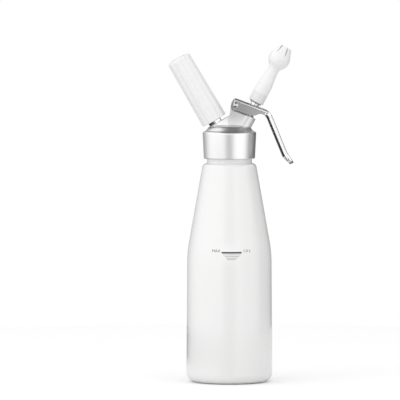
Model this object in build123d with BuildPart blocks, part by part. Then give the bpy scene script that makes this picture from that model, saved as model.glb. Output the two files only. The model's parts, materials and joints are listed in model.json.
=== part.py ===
from build123d import *

import os
from math import cos, pi, radians, sin

# Whipped cream dispenser: a pressure bottle, a screw-on cast head with a gas
# inlet and a lever-worked valve, a holder for the gas charger and a tulip
# decorating nozzle.
#
# Millimetres, +Z up, origin at the centre of the bottle's base.  The lever and
# the nozzle lie on the +X side and the charger holder on the -X side.  The XZ
# plane is the plane of symmetry.  Two leaning axes lie in it: the inlet axis,
# which the charger holder screws onto, and the valve axis, along which the
# stem slides and the nozzle screws on.

# ---------------------------------------------------------------- clearances
fixed_gap = 0.05        # radial, between pieces that are screwed or pressed together
running_gap = 0.10      # radial, between pieces that turn or slide in each other
seat_gap = 0.10         # between two faces that rest on each other
free_gap = 0.30         # between pieces that pass each other
thread_gap = 0.40       # radial, between two screw threads' plain stand-in faces

# -------------------------------------------------------------------- bottle
body_radius = 45.6      # where the wall of the body meets the cone
body_height = 140.7
body_blend = 136.0
foot_flare = 0.9        # how much wider the body is at its foot
foot_corner = 9.7
cone_height = 95.8
shoulder_width = 4.3    # how far the shoulder stands out from the neck
shoulder_round = 4.7
neck_radius = 24.4
neck_length = 28.0
neck_plain = 7.5        # plain length of neck between shoulder and thread
neck_wall = 2.6
thread_depth = 1.0
mouth_chamfer = 0.9
bottle_wall = 1.6
room_chamfer = 7.0
base_wall = 2.6
foot_ring = 13.5        # width of the base around the hollow in its underside
punt_depth = 3.0
punt_slope = 4.0

foot_radius = body_radius + foot_flare
punt_radius = foot_radius - foot_ring
shoulder_height = body_height + cone_height
shoulder_edge = neck_radius + shoulder_width
cone_slope = (body_radius - shoulder_edge) / cone_height
mouth_height = shoulder_height + neck_length
thread_root = neck_radius - thread_depth
thread_foot = shoulder_height + neck_plain
mouth_radius = thread_root - neck_wall
room_radius = body_radius - bottle_wall
throat_height = shoulder_height - 1.5 * bottle_wall
throat_edge = shoulder_edge + (shoulder_height - throat_height) * cone_slope - bottle_wall

# --------------------------------------------------------------- head casting
collar_rise = 5.2       # of the collar's foot above the bottle's shoulder
collar_wall = 2.9
collar_height = 29.5
collar_flare = 1.4
collar_round = 2.6
collar_foot_chamfer = 0.5
rim_width = 2.9         # of the collar's top, outside the dome
dome_cove = 2.2
dome_edge_inset = 4.3
dome_edge_rise = 5.2
dome_round = 5.0
dome_crown = 3.2        # rise of the dome's middle above its edge
gasket_thickness = 2.3
seat_width = 4.3        # width of the ring that bears on the gasket
roof_recess = 3.6       # hollow inside that ring
thread_lead_in = 0.8
web_half_width = 9.6
web_crease = 1.5        # where the web's side turns in toward the inlet boss
web_inlet_half_width = 4.6
web_end_half_width = 8.4
web_draft = 1.5
web_sink = 1.2          # of the web's foot under the collar's top
web_height = 40.0
web_end = 30.0          # how far the web's blank runs to either side
web_step = 0.4          # from the inlet axis to the web's side of the inlet boss
web_face_drop = 0.2     # of the web's shoulder under the inlet boss face
web_shoulder_reach = 17.2
web_shoulder_round = 2.0
web_overlap = 7.2       # of the web's top onto the face of the valve boss
ear_radius = 5.1
ear_round = 5.0

collar_foot = shoulder_height + collar_rise
collar_top = collar_foot + collar_height
collar_bore = neck_radius + thread_gap
collar_foot_radius = collar_bore + collar_wall
collar_top_radius = collar_foot_radius + collar_flare
dome_foot_radius = collar_top_radius - rim_width
dome_edge_radius = dome_foot_radius - dome_edge_inset
dome_edge_height = collar_top + dome_edge_rise
dome_top = dome_edge_height + dome_crown
gasket_seat = mouth_height + seat_gap + gasket_thickness
recess_radius = collar_bore - seat_width - seat_gap

# The two leaning axes cross inside the bottle's neck.
axes_offset = 1.06
axes_depth = 11.6       # of the crossing under the bottle's mouth
axes_cross = Vector(axes_offset, 0, mouth_height - axes_depth)
inlet_tilt = 30.2
inlet_reach = 31.0      # from the crossing to the face of the inlet boss
inlet_boss_radius = 8.4
inlet_boss_depth = 9.0
inlet_foot_radius = 5.6
inlet_foot_depth = 15.5
inlet_spot_radius = 11.0    # of the spot face that clears the boss and the nipple
valve_tilt = 28.7
valve_reach = 40.35     # from the crossing to the face of the valve boss
valve_boss_radius = 9.0
valve_boss_depth = 15.0
valve_foot_radius = 7.0


def leaning_plane(tilt, reach):
    """Section plane of an axis that leans by tilt from +Z: x is radial, y runs up the axis."""
    lean = radians(tilt)
    along = Vector(sin(lean), 0, cos(lean))
    across = Vector(cos(lean), 0, -sin(lean))
    return Plane(origin=axes_cross + along * reach, x_dir=across, z_dir=(0, -1, 0))


inlet_side = leaning_plane(-inlet_tilt, inlet_reach)
inlet_axis = Axis(inlet_side.origin, inlet_side.y_dir)
valve_side = leaning_plane(valve_tilt, valve_reach)
valve_axis = Axis(valve_side.origin, valve_side.y_dir)


def across_axis(side, height):
    """Plane square to a leaning axis, at a height along it."""
    origin = side.origin + side.y_dir * height
    return Plane(origin=origin, x_dir=side.x_dir, z_dir=side.y_dir)


# ---------------------------------------------------- valve, along valve axis
# Heights along the valve axis are measured from the face of the valve boss.
stem_radius = 4.0
stem_duct = 1.9
stem_waist = 2.9        # where the cream runs past the stem
spring_wire = 1.1
spring_mean_radius = 5.55
spring_turns = 5.0
wire_sides = 6
pocket_radius = 6.5
pocket_depth = 9.0
bush_radius = 6.0
bush_length = 5.0
guide_length = 6.5
chamber_radius = 5.2
chamber_length = 8.0
seal_radius = 6.4
seal_thickness = 1.8
backing_thickness = 1.2
stem_tail_radius = 2.0
nut_width = 7.0
nut_height = 2.8
stem_tail = 0.6         # what stands out of the nut
ring_groove_height = 16.6
o_ring_wire = 1.3
thrust_top = 10.85
thrust_thickness = 2.6
thrust_radius = 6.3
thrust_crown = 20.0     # spherical radius of the face that the lever presses
port_radius = 1.3

guide_end = pocket_depth + bush_length + guide_length
valve_foot_depth = guide_end + chamber_length
thrust_foot = thrust_top - thrust_thickness

# ------------------------------------------------------------ nozzle adapter
adapter_clearance = 2.9     # above the thrust ring, where the lever's plate passes
adapter_neck_radius = 5.0
adapter_neck_length = 1.65
adapter_flange_radius = 6.5
adapter_flange_thickness = 1.4
adapter_thread_radius = 6.0
adapter_thread_length = 9.4
adapter_lead = 0.6
stem_overlap = 7.0      # of the stem inside the adapter, above its flange
washer_thickness = 1.2
washer_bore = 3.4

adapter_foot = thrust_top + adapter_clearance
adapter_flange_height = adapter_foot + adapter_neck_length
nozzle_foot = adapter_flange_height + adapter_flange_thickness
stem_top = nozzle_foot + stem_overlap

# ------------------------------------------------------------- tulip nozzle
# Radii, and rises of each station above the one before it.
nozzle_base_radius = 8.3
nozzle_base_height = 21.4
nozzle_base_top_radius = 8.1
nozzle_step_rise = 2.2
nozzle_step_radius = 7.65
nozzle_taper_rise = 12.8
nozzle_waist_radius = 6.0
nozzle_waist_rise = 3.2
bulb_cove_radius = 7.0
bulb_cove_rise = 3.0
bulb_flank_radius = 9.3
bulb_flank_rise = 2.7
bulb_radius = 11.5
bulb_rise = 6.0
bulb_crown_radius = 10.0
bulb_crown_rise = 7.7
nozzle_mouth_radius = 6.9
nozzle_mouth_rise = 8.4
nozzle_wall = 1.5
nozzle_duct_radius = 5.2
petal_count = 6
petal_slot_length = 9.5
petal_slot_width = 2.0
petal_slot_end_width = 0.5
petal_tip_round = 1.0
petal_turn = 22.0

# Heights above the foot of the nozzle.
nozzle_step_height = nozzle_base_height + nozzle_step_rise
nozzle_waist_height = nozzle_step_height + nozzle_taper_rise
bulb_foot_height = nozzle_waist_height + nozzle_waist_rise
bulb_cove_height = bulb_foot_height + bulb_cove_rise
bulb_flank_height = bulb_cove_height + bulb_flank_rise
bulb_height = bulb_flank_height + bulb_rise
bulb_crown_height = bulb_height + bulb_crown_rise
nozzle_length = bulb_crown_height + nozzle_mouth_rise

# --------------------------------------------------------------------- lever
lever_arm = 17.4        # from the pivot to the valve axis
pivot_rise = 3.25       # of the pivot above the valve boss, along the valve axis
lever_slope = 20.5      # of the top plate, below horizontal
plate_height = 6.87     # outer face of the top plate above the pivot
sheet = 1.5
lever_half_width = 11.1
heel_length = 4.5
sole_depth = 6.2
sole_length = 15.4
bend_length = 37.3      # from the pivot to the corner of the bend
bend_round = 14.0
handle_angle = 47.2     # of the handle, below the top plate
handle_length = 49.3
handle_depth = 6.5
kick_angle = 34.6       # of the tip, below the top plate
kick_length = 12.3
kick_round = 20.0
tip_depth = 4.4
tip_round = 2.1
tip_half_width = 8.4
tip_corner_round = 6.5
heel_round = 3.5
flange_round = 4.0      # of the handle's side flange where it ends
flange_bend_round = 7.8
notch_far = (27.0, 0.2, 3.0)        # the cheek steps up here toward the handle
notch_near = (23.4, -3.2, 4.0)
sole_round = 6.0
sole_heel_round = 5.4
flange_overrun = 1.0    # of the side flange past the start of the tip
edge_bend = 2.1         # outer radius of the sheet's long bends
pin_radius = 2.0
pin_head_radius = 2.9
pin_head_height = 1.4
pin_head_rim = 0.3
clip_radius = 3.6
clip_thickness = 0.8
pin_tail = 0.7
stem_slot_travel = 1.4  # how far the stem moves along the slot as the lever turns
stem_slot_shift = 0.4   # of the slot's middle, toward the handle

# ------------------------------------------------------- gas inlet and holder
# Heights along the inlet axis are measured from the face of the inlet boss.
nipple_shank_radius = 5.9
nipple_shank_length = 8.5
spanner_width = 14.5
spanner_corner_radius = 7.75    # the flats' corners are turned off to this
spanner_height = 3.3
nipple_drum_radius = 9.6
nipple_drum_length = 9.7
nipple_tube_radius = 2.4
nipple_recess_radius = 5.2
nipple_recess_depth = 5.5
nipple_chamfer = 0.6
gas_passage = 1.3
sleeve_radius = 3.5
sleeve_length = 3.4
pin_needle_radius = 1.1
pin_reach = 2.3         # of the needle past the charger's cap
pin_bore = 0.4
pin_flange_radius = 2.6
pin_flange_height = 1.2
pin_foot_length = 3.0
charger_seal_thickness = 1.7
charger_length = 65.5
charger_radius = 8.9
charger_neck_radius = 4.3
charger_neck_length = 7.0
charger_shoulder = 6.5
charger_wall = 1.8
charger_neck_bore = 2.2
charger_end_taper = 5.5
charger_end_radius = 4.6
cap_radius = 3.2
cap_thickness = 0.6
holder_end_wall = 7.0
holder_foot_reach = 14.15
holder_end_reach = 13.1
holder_end_round = 3.0
holder_end_dome = 1.3
holder_end_flat = 6.5
holder_lead = 0.5
holder_core_radius = 12.2
holder_lobes = 10
lobe_pitch_radius = 7.6
insert_radius = 11.3
insert_length = 14.0

insert_bore = nipple_drum_radius + thread_gap
holder_bore = charger_radius + free_gap + seat_gap
nipple_drum_top = spanner_height + nipple_drum_length
nipple_tube_length = inlet_foot_depth + sleeve_length + seat_gap
charger_foot = nipple_drum_top - nipple_recess_depth + charger_seal_thickness + seat_gap
charger_end = charger_foot + charger_length
pin_needle_top = charger_foot + pin_reach
holder_foot = spanner_height + free_gap
holder_end = charger_end + holder_end_wall
holder_length = holder_end - holder_foot


def rounded_outline(*corners):
    """Closed line through the corners; a corner's third value is its rounding."""
    points = [corner[:2] for corner in corners]
    rounding = [corner[2] if len(corner) > 2 else 0 for corner in corners]
    return FilletPolyline(*points, radius=rounding, close=True)


def ring_section(inner, outer, foot, top):
    """Closed half section of a plain ring."""
    return Polyline((inner, foot), (outer, foot), (outer, top), (inner, top), (inner, foot))


def toward(start, angle, length):
    """Point at a distance from start, in a direction below the x axis."""
    return (
        start[0] + length * cos(radians(angle)),
        start[1] - length * sin(radians(angle)),
    )


def beneath(point, angle, depth):
    """Point at a depth square to a line that runs down at an angle."""
    return toward(point, angle + 90, depth)


def inner_corner(corner, angle_before, angle_after, depth):
    """Corner of the line that runs at a depth under two lines meeting at a corner."""
    half_turn = radians(angle_after - angle_before) / 2
    return beneath(corner, (angle_before + angle_after) / 2, depth / cos(half_turn))


# -------------------------------------------------------------------- bottle
with BuildPart() as bottle:
    with BuildSketch(Plane.XZ):
        with BuildLine():
            rounded_outline(
                (0, punt_depth),
                (punt_radius - punt_slope, punt_depth),
                (punt_radius, 0),
                (foot_radius, 0, foot_corner),
                (body_radius, body_height, body_blend),
                (shoulder_edge, shoulder_height, shoulder_round),
                (neck_radius, shoulder_height),
                (neck_radius, thread_foot),
                (thread_root, thread_foot + thread_depth),
                (thread_root, mouth_height - mouth_chamfer),
                (thread_root - mouth_chamfer, mouth_height),
                (0, mouth_height),
            )
        make_face()
    revolve(axis=Axis.Z)
    with BuildSketch(Plane.XZ):
        with BuildLine():
            Polyline(
                (0, punt_depth + base_wall),
                (punt_radius - punt_slope, punt_depth + base_wall),
                (punt_radius, base_wall),
                (room_radius - room_chamfer, base_wall),
                (room_radius, base_wall + room_chamfer),
                (room_radius, body_height),
                (throat_edge, throat_height),
                (mouth_radius, throat_height),
                (mouth_radius, mouth_height),
                (0, mouth_height),
                (0, punt_depth + base_wall),
            )
        make_face()
    revolve(axis=Axis.Z, mode=Mode.SUBTRACT)

# --------------------------------------------------------------- head gasket
with BuildPart() as head_gasket:
    with BuildSketch(Plane.XZ):
        with BuildLine():
            ring_section(
                mouth_radius,
                collar_bore - free_gap,
                mouth_height + seat_gap / 2,
                gasket_seat - seat_gap / 2,
            )
        make_face()
    revolve(axis=Axis.Z)

# --------------------------------------------------------------- head casting
pivot = valve_side.from_local_coords(Vector(-lever_arm, pivot_rise))

# The web carries the two bosses and rises into the ear that holds the lever's pin.
with BuildPart() as web:
    with BuildSketch(Plane.XY.offset(collar_top - web_sink)):
        with BuildLine():
            Polyline(
                (-web_end, web_inlet_half_width),
                (-web_end, -web_inlet_half_width),
                (-web_crease, -web_half_width),
                (pivot.X, -web_half_width),
                (web_end, -web_end_half_width),
                (web_end, web_end_half_width),
                (pivot.X, web_half_width),
                (-web_crease, web_half_width),
                (-web_end, web_inlet_half_width),
            )
        make_face()
    extrude(amount=web_height, taper=web_draft)
    with BuildSketch(Plane.XZ):
        inlet_foot = inlet_side.from_local_coords(Vector(web_step, -inlet_boss_depth))
        inlet_face = inlet_side.from_local_coords(Vector(web_step, 0))
        shoulder = inlet_side.from_local_coords(Vector(web_shoulder_reach, -web_face_drop))
        boss_left = valve_side.from_local_coords(Vector(-web_overlap, 0))
        boss_face = valve_side.from_local_coords(Vector(0, 0))
        boss_foot = valve_side.from_local_coords(Vector(0, -valve_boss_depth))
        with BuildLine():
            rounded_outline(
                (inlet_foot.X, inlet_foot.Z),
                (inlet_face.X, inlet_face.Z),
                (shoulder.X, shoulder.Z, web_shoulder_round),
                (pivot.X - ear_radius, pivot.Z),
                (pivot.X - ear_radius, pivot.Z + ear_radius, ear_round),
                (pivot.X + ear_radius, pivot.Z + ear_radius, ear_round),
                (pivot.X + ear_radius, boss_left.Z),
                (boss_left.X, boss_left.Z),
                (boss_face.X, boss_face.Z),
                (boss_foot.X, boss_foot.Z),
            )
        make_face()
    extrude(amount=web_height, both=True, mode=Mode.INTERSECT)

with BuildPart() as head_casting:
    with BuildSketch(Plane.XZ):
        with BuildLine():
            rounded_outline(
                (0, gasket_seat),
                (collar_bore, gasket_seat),
                (collar_bore, collar_foot + thread_lead_in),
                (collar_bore + thread_lead_in, collar_foot),
                (collar_foot_radius - collar_foot_chamfer, collar_foot),
                (collar_foot_radius, collar_foot + collar_foot_chamfer),
                (collar_top_radius, collar_top, collar_round),
                (dome_foot_radius, collar_top, dome_cove),
                (dome_edge_radius, dome_edge_height, dome_round),
                (0, dome_top),
            )
        make_face()
    revolve(axis=Axis.Z)
    add(web.part)
    with BuildSketch(inlet_side):
        with BuildLine():
            ring_section(0, inlet_boss_radius, -inlet_boss_depth, 0)
        make_face()
    revolve(axis=inlet_axis)
    with BuildSketch(valve_side):
        with BuildLine():
            ring_section(0, valve_boss_radius, -valve_boss_depth, 0)
        make_face()
    revolve(axis=valve_axis)
    with BuildSketch(inlet_side):
        with BuildLine():
            ring_section(0, inlet_spot_radius, 0, nipple_drum_top)
        make_face()
    revolve(axis=inlet_axis, mode=Mode.SUBTRACT)
    # Hollow under the roof, with the feet of the two bosses standing down into it.
    with BuildSketch(Plane.XY.offset(gasket_seat)):
        Circle(recess_radius)
    extrude(amount=roof_recess, mode=Mode.SUBTRACT)
    with BuildSketch(inlet_side):
        with BuildLine():
            ring_section(0, inlet_foot_radius, -inlet_foot_depth, -inlet_boss_depth / 2)
        make_face()
    revolve(axis=inlet_axis)
    with BuildSketch(valve_side):
        with BuildLine():
            ring_section(0, valve_foot_radius, -valve_foot_depth, -valve_boss_depth / 2)
        make_face()
    revolve(axis=valve_axis)
    # Bore of the inlet: a threaded hole for the nipple, then the tube's way through.
    with BuildSketch(inlet_side):
        with BuildLine():
            Polyline(
                (0, 0),
                (nipple_shank_radius + fixed_gap, 0),
                (nipple_shank_radius + fixed_gap, -nipple_shank_length - seat_gap),
                (nipple_tube_radius + free_gap, -nipple_shank_length - seat_gap),
                (nipple_tube_radius + free_gap, -inlet_foot_depth),
                (0, -inlet_foot_depth),
                (0, 0),
            )
        make_face()
    revolve(axis=inlet_axis, mode=Mode.SUBTRACT)
    # Bore of the valve: spring pocket, seat of the bush, guide and cream chamber.
    with BuildSketch(valve_side):
        with BuildLine():
            Polyline(
                (0, 0),
                (pocket_radius, 0),
                (pocket_radius, -pocket_depth),
                (bush_radius + fixed_gap, -pocket_depth),
                (bush_radius + fixed_gap, -pocket_depth - bush_length),
                (stem_radius + running_gap + fixed_gap, -pocket_depth - bush_length),
                (stem_radius + running_gap + fixed_gap, -guide_end),
                (chamber_radius, -guide_end),
                (chamber_radius, -valve_foot_depth),
                (0, -valve_foot_depth),
                (0, 0),
            )
        make_face()
    revolve(axis=valve_axis, mode=Mode.SUBTRACT)
    with BuildSketch(Plane.XZ):
        with Locations((pivot.X, pivot.Z)):
            Circle(pin_radius + fixed_gap)
    extrude(amount=web_height, both=True, mode=Mode.SUBTRACT)

# ---------------------------------------------------------------- gas inlet
with BuildPart() as inlet_nipple:
    with BuildSketch(inlet_side):
        with BuildLine():
            Polyline(
                (gas_passage, -nipple_tube_length),
                (nipple_tube_radius, -nipple_tube_length),
                (nipple_tube_radius, -nipple_shank_length),
                (nipple_shank_radius, -nipple_shank_length),
                (nipple_shank_radius, 0),
                (gas_passage, 0),
                (gas_passage, -nipple_tube_length),
            )
        make_face()
    revolve(axis=inlet_axis)
    with BuildSketch(across_axis(inlet_side, 0)):
        RegularPolygon(spanner_width / 2, 6, major_radius=False, rotation=30)
        Circle(spanner_corner_radius, mode=Mode.INTERSECT)
    extrude(amount=spanner_height)
    with BuildSketch(inlet_side):
        with BuildLine():
            Polyline(
                (0, spanner_height),
                (nipple_drum_radius - nipple_chamfer, spanner_height),
                (nipple_drum_radius, spanner_height + nipple_chamfer),
                (nipple_drum_radius, nipple_drum_top - nipple_chamfer),
                (nipple_drum_radius - nipple_chamfer, nipple_drum_top),
                (0, nipple_drum_top),
                (0, spanner_height),
            )
        make_face()
    revolve(axis=inlet_axis)
    recess_foot = nipple_drum_top - nipple_recess_depth
    pin_seat = recess_foot - pin_flange_height
    with BuildSketch(inlet_side):
        with BuildLine():
            Polyline(
                (0, -pin_foot_length),
                (gas_passage, -pin_foot_length),
                (gas_passage, pin_seat),
                (pin_flange_radius + fixed_gap, pin_seat),
                (pin_flange_radius + fixed_gap, recess_foot),
                (nipple_recess_radius, recess_foot),
                (nipple_recess_radius, nipple_drum_top),
                (0, nipple_drum_top),
                (0, -pin_foot_length),
            )
        make_face()
    revolve(axis=inlet_axis, mode=Mode.SUBTRACT)

with BuildPart() as piercing_pin:
    with BuildSketch(inlet_side):
        with BuildLine():
            Polyline(
                (pin_bore, pin_seat - pin_foot_length),
                (gas_passage - fixed_gap, pin_seat - pin_foot_length),
                (gas_passage - fixed_gap, pin_seat + fixed_gap),
                (pin_flange_radius, pin_seat + fixed_gap),
                (pin_flange_radius, recess_foot),
                (pin_needle_radius, recess_foot),
                (pin_needle_radius, pin_needle_top - 2 * pin_needle_radius),
                (pin_bore, pin_needle_top),
                (pin_bore, pin_seat - pin_foot_length),
            )
        make_face()
    revolve(axis=inlet_axis)

with BuildPart() as charger_seal:
    with BuildSketch(inlet_side):
        with BuildLine():
            ring_section(
                pin_needle_radius + free_gap,
                nipple_recess_radius - fixed_gap,
                recess_foot + seat_gap / 2,
                recess_foot + charger_seal_thickness,
            )
        make_face()
    revolve(axis=inlet_axis)

with BuildPart() as check_sleeve:
    with BuildSketch(inlet_side):
        with BuildLine():
            ring_section(
                nipple_tube_radius + fixed_gap,
                sleeve_radius,
                -nipple_tube_length,
                -nipple_tube_length + sleeve_length,
            )
        make_face()
    revolve(axis=inlet_axis)

# ---------------------------------------------------------- charger and cap
neck_end = charger_foot + charger_neck_length
charger_room_radius = charger_radius - charger_wall

with BuildPart() as gas_charger:
    with BuildSketch(inlet_side):
        with BuildLine():
            Polyline(
                (0, charger_foot),
                (charger_neck_radius, charger_foot),
                (charger_neck_radius, neck_end),
                (charger_radius, neck_end + charger_shoulder),
                (charger_radius, charger_end - charger_end_taper),
                (charger_end_radius, charger_end),
                (0, charger_end),
                (0, charger_foot),
            )
        make_face()
    revolve(axis=inlet_axis)
    with BuildSketch(inlet_side):
        with BuildLine():
            Polyline(
                (0, charger_foot),
                (cap_radius + fixed_gap, charger_foot),
                (cap_radius + fixed_gap, charger_foot + cap_thickness + fixed_gap),
                (charger_neck_bore, charger_foot + cap_thickness + fixed_gap),
                (charger_neck_bore, neck_end),
                (charger_room_radius, neck_end + charger_shoulder),
                (charger_room_radius, charger_end - charger_end_taper),
                (charger_end_radius, charger_end - charger_wall),
                (0, charger_end - charger_wall),
                (0, charger_foot),
            )
        make_face()
    revolve(axis=inlet_axis, mode=Mode.SUBTRACT)

with BuildPart() as charger_cap:
    with BuildSketch(inlet_side):
        with BuildLine():
            ring_section(
                pin_needle_radius + free_gap,
                cap_radius,
                charger_foot,
                charger_foot + cap_thickness,
            )
        make_face()
    revolve(axis=inlet_axis)

# ------------------------------------------------------------ charger holder
holder_taper = (holder_foot_reach - holder_end_reach) / holder_length
lobe_radius = holder_foot_reach - lobe_pitch_radius
insert_top = holder_foot + insert_length

with BuildPart() as charger_holder:
    with BuildSketch(across_axis(inlet_side, holder_foot)):
        Circle(holder_core_radius)
        with PolarLocations(lobe_pitch_radius, holder_lobes, start_angle=90 + 180 / holder_lobes):
            Circle(lobe_radius)
    extrude(amount=holder_length, taper=holder_taper * 180 / pi)
    # The closed end is domed and its lobes are rounded over.
    with BuildSketch(inlet_side):
        with BuildLine():
            rounded_outline(
                (0, holder_foot),
                (holder_foot_reach - holder_lead, holder_foot),
                (holder_foot_reach, holder_foot + holder_lead),
                (holder_end_reach, holder_end - holder_end_dome, holder_end_round),
                (holder_end_flat, holder_end),
                (0, holder_end),
            )
        make_face()
    revolve(axis=inlet_axis, mode=Mode.INTERSECT)
    with BuildSketch(inlet_side):
        with BuildLine():
            Polyline(
                (0, holder_foot),
                (insert_radius + fixed_gap, holder_foot),
                (insert_radius + fixed_gap, insert_top),
                (holder_bore, insert_top),
                (holder_bore, charger_end - charger_end_taper),
                (charger_end_radius + free_gap, charger_end + seat_gap),
                (0, charger_end + seat_gap),
                (0, holder_foot),
            )
        make_face()
    revolve(axis=inlet_axis, mode=Mode.SUBTRACT)

with BuildPart() as holder_insert:
    with BuildSketch(inlet_side):
        with BuildLine():
            ring_section(insert_bore, insert_radius, holder_foot + free_gap, insert_top - fixed_gap)
        make_face()
    revolve(axis=inlet_axis)

# ------------------------------------------------------------------ the valve
with BuildPart() as valve_bush:
    with BuildSketch(valve_side):
        with BuildLine():
            ring_section(
                stem_radius + running_gap,
                bush_radius,
                -pocket_depth - bush_length + fixed_gap,
                -pocket_depth,
            )
        make_face()
    revolve(axis=valve_axis)

with BuildPart() as valve_spring:
    spring_foot = -pocket_depth + spring_wire / 2 + seat_gap
    spring_top = thrust_foot - spring_wire / 2 - seat_gap
    spring_pitch = (spring_top - spring_foot) / spring_turns
    with BuildLine():
        coil = Helix(
            pitch=spring_pitch,
            height=spring_top - spring_foot,
            radius=spring_mean_radius,
            center=valve_axis.position + valve_axis.direction * spring_foot,
            direction=valve_axis.direction,
        )
    with BuildSketch(Plane(origin=coil @ 0, z_dir=coil % 0)):
        RegularPolygon(spring_wire / 2, wire_sides)
    sweep(is_frenet=True)

seat_height = -valve_foot_depth
seal_foot = seat_height - seat_gap - seal_thickness
backing_foot = seal_foot - backing_thickness
nut_foot = backing_foot - nut_height
groove_middle = -ring_groove_height
groove_half = o_ring_wire / 2 + running_gap
groove_radius = stem_radius + running_gap - o_ring_wire

with BuildPart() as valve_stem:
    with BuildSketch(valve_side):
        with BuildLine():
            Polyline(
                (0, nut_foot - stem_tail),
                (stem_tail_radius, nut_foot - stem_tail),
                (stem_tail_radius, seat_height - seat_gap),
                (stem_waist, seat_height - seat_gap),
                (stem_waist, -guide_end),
                (stem_radius, -guide_end + stem_radius - stem_waist),
                (stem_radius, groove_middle - groove_half),
                (groove_radius, groove_middle - groove_half),
                (groove_radius, groove_middle + groove_half),
                (stem_radius, groove_middle + groove_half),
                (stem_radius, stem_top),
                (stem_duct, stem_top),
                (stem_duct, seat_height + stem_duct),
                (0, seat_height + stem_duct),
                (0, nut_foot - stem_tail),
            )
        make_face()
    revolve(axis=valve_axis)
    # Cross holes let the cream from the chamber into the duct.
    port_height = (seat_height - guide_end) / 2
    with BuildSketch(Plane(origin=across_axis(valve_side, port_height).origin, z_dir=(0, 1, 0))):
        Circle(port_radius)
    extrude(amount=stem_radius, both=True, mode=Mode.SUBTRACT)
    with BuildSketch(Plane(across_axis(valve_side, port_height).origin, z_dir=valve_side.x_dir)):
        Circle(port_radius)
    extrude(amount=stem_radius, both=True, mode=Mode.SUBTRACT)

with BuildPart() as stem_o_ring:
    with BuildSketch(valve_side):
        with Locations((stem_radius + running_gap - o_ring_wire / 2, groove_middle)):
            RegularPolygon(o_ring_wire / 2 - fixed_gap, wire_sides)
    revolve(axis=valve_axis)

with BuildPart() as valve_seal:
    with BuildSketch(valve_side):
        with BuildLine():
            ring_section(stem_tail_radius + fixed_gap, seal_radius, seal_foot, seat_height - seat_gap)
        make_face()
    revolve(axis=valve_axis)

with BuildPart() as seal_backing:
    with BuildSketch(valve_side):
        with BuildLine():
            ring_section(
                stem_tail_radius + fixed_gap,
                seal_radius - free_gap,
                backing_foot,
                seal_foot,
            )
        make_face()
    revolve(axis=valve_axis)

with BuildPart() as valve_nut:
    with BuildSketch(across_axis(valve_side, nut_foot)):
        RegularPolygon(nut_width / 2, 6, major_radius=False)
        Circle(stem_tail_radius + fixed_gap, mode=Mode.SUBTRACT)
    extrude(amount=nut_height)

with BuildPart() as thrust_ring:
    with BuildSketch(valve_side):
        crown_rim = thrust_top - thrust_radius**2 / (2 * thrust_crown)
        crown_top = thrust_top - stem_radius**2 / (2 * thrust_crown)
        with BuildLine():
            foot = Polyline(
                (stem_radius + fixed_gap, crown_top),
                (stem_radius + fixed_gap, thrust_foot),
                (thrust_radius, thrust_foot),
                (thrust_radius, crown_rim),
            )
            RadiusArc(foot @ 1, foot @ 0, thrust_crown)
        make_face()
    revolve(axis=valve_axis)

# --------------------------------------------------------------- the nozzle
adapter_top = nozzle_foot + adapter_thread_length
socket_floor = adapter_top + washer_thickness + seat_gap
nozzle_thread_radius = adapter_thread_radius + thread_gap / 2

with BuildPart() as nozzle_adapter:
    with BuildSketch(valve_side):
        with BuildLine():
            Polyline(
                (stem_radius + fixed_gap, adapter_foot),
                (adapter_neck_radius, adapter_foot),
                (adapter_neck_radius, adapter_flange_height),
                (adapter_flange_radius, adapter_flange_height),
                (adapter_flange_radius, nozzle_foot - seat_gap),
                (adapter_thread_radius, nozzle_foot - seat_gap),
                (adapter_thread_radius, adapter_top - adapter_lead),
                (adapter_thread_radius - adapter_lead, adapter_top),
                (stem_duct, adapter_top),
                (stem_duct, stem_top + seat_gap),
                (stem_radius + fixed_gap, stem_top + seat_gap),
                (stem_radius + fixed_gap, adapter_foot),
            )
        make_face()
    revolve(axis=valve_axis)

with BuildPart() as nozzle_washer:
    with BuildSketch(valve_side):
        with BuildLine():
            ring_section(
                washer_bore,
                adapter_thread_radius,
                adapter_top + seat_gap / 2,
                socket_floor - seat_gap / 2,
            )
        make_face()
    revolve(axis=valve_axis)

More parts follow.
